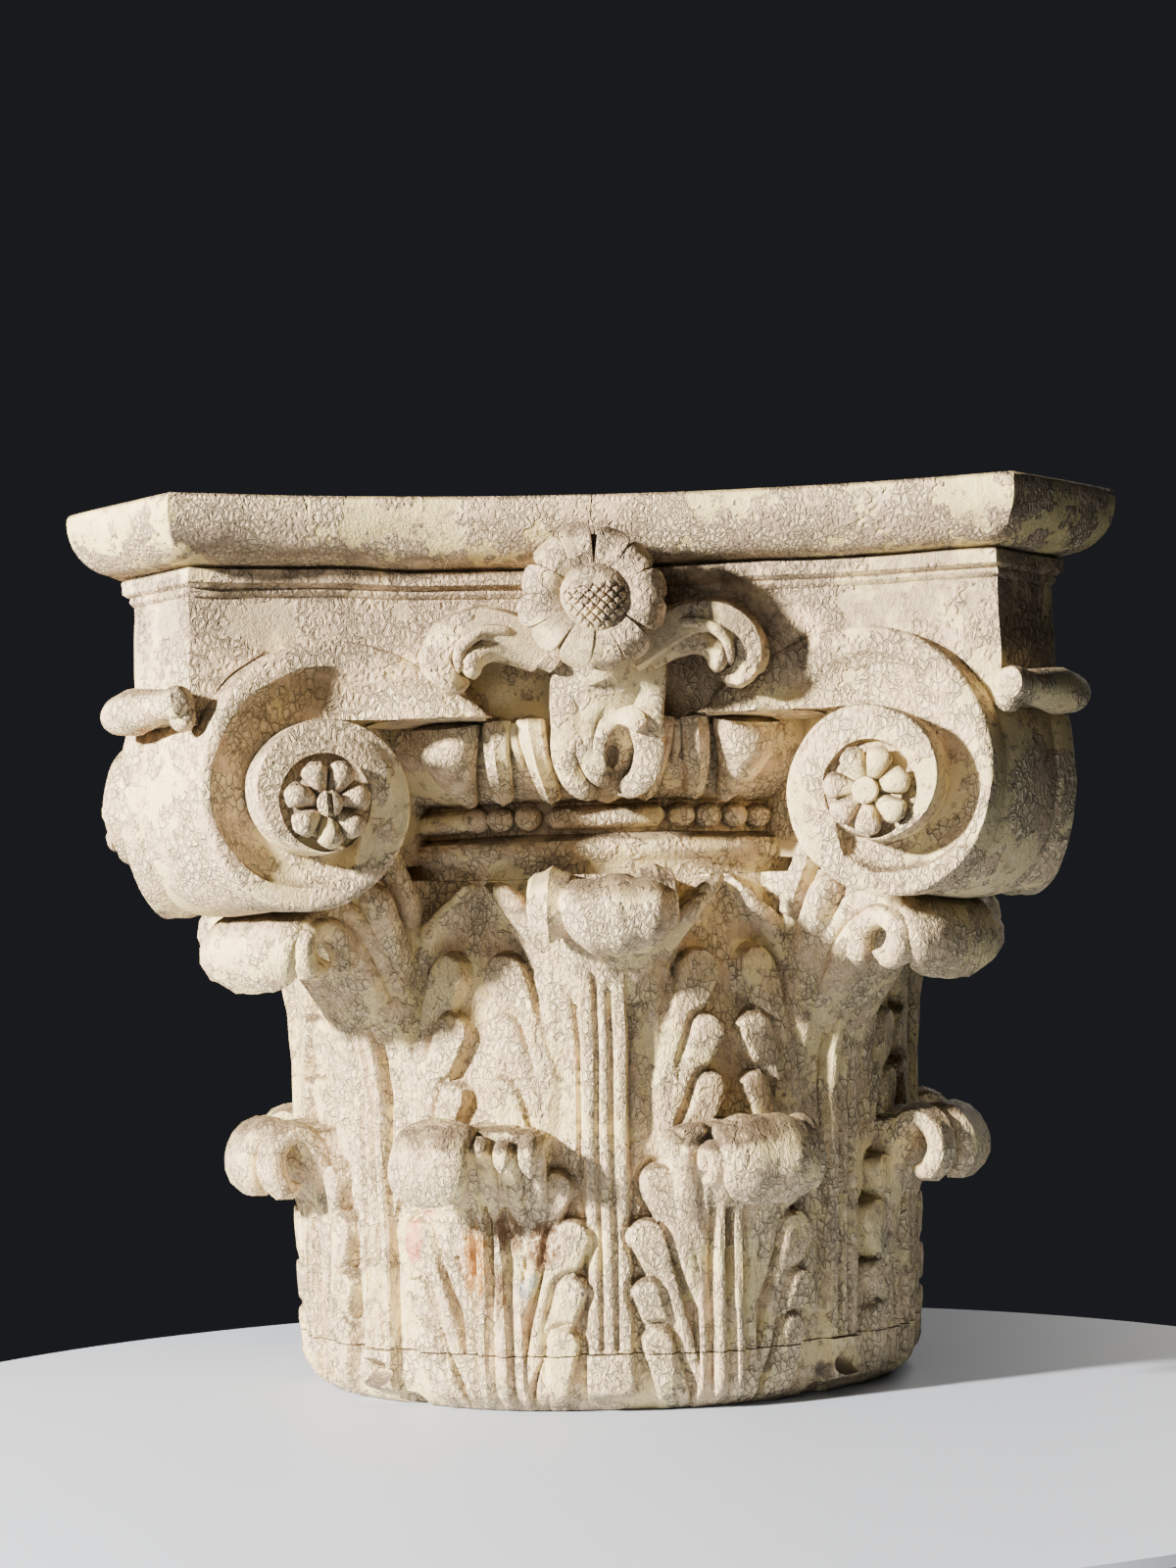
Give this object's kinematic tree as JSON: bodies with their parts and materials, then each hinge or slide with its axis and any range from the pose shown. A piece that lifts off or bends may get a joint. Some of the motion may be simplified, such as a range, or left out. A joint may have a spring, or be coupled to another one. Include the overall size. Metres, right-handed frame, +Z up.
{
  "type": "corinthian capital",
  "caption": "Painted carved timber column capital with two tiers of acanthus leaves, egg-and-dart, corner volutes with rosettes, and a hollow-sided moulded abacus with a flower on each side.",
  "frame": {"origin": "centre of the flat underside of the foot ring", "axes": "+Z up to the flat top of the abacus; -Y is the front side seen in the picture; the corner volutes lie on the diagonals"},
  "size_m": [0.56, 0.56, 0.486],
  "materials": {
    "abacus_paint": "old crackled cream-yellow paint over grey-beige layers on timber, matt",
    "carved_paint": "old crackled off-white and cream paint on carved timber, dirt in the recesses, matt",
    "foot_paint": "old off-white paint on timber, rubbed at the bottom edge, matt",
    "rosette": "worn paint on carved timber, bare wood at the petal edges, matt",
    "peg": "worn paint on a turned timber button, matt"
  },
  "bodies": {
    "root": {"abacus_board": "abacus_paint", "capital_block": "carved_paint", "foot_ring": "foot_paint", "rosette_front_left_a": "rosette", "peg_front_left_a": "peg", "rosette_front_left_b": "rosette", "peg_front_left_b": "peg", "rosette_front_right_b": "rosette", "peg_front_right_b": "peg", "rosette_back_right_a": "rosette", "peg_back_right_a": "peg", "rosette_back_right_b": "rosette", "peg_back_right_b": "peg", "rosette_back_left_a": "rosette", "peg_back_left_a": "peg", "rosette_back_left_b": "rosette", "peg_back_left_b": "peg"}
  },
  "joints": []
}
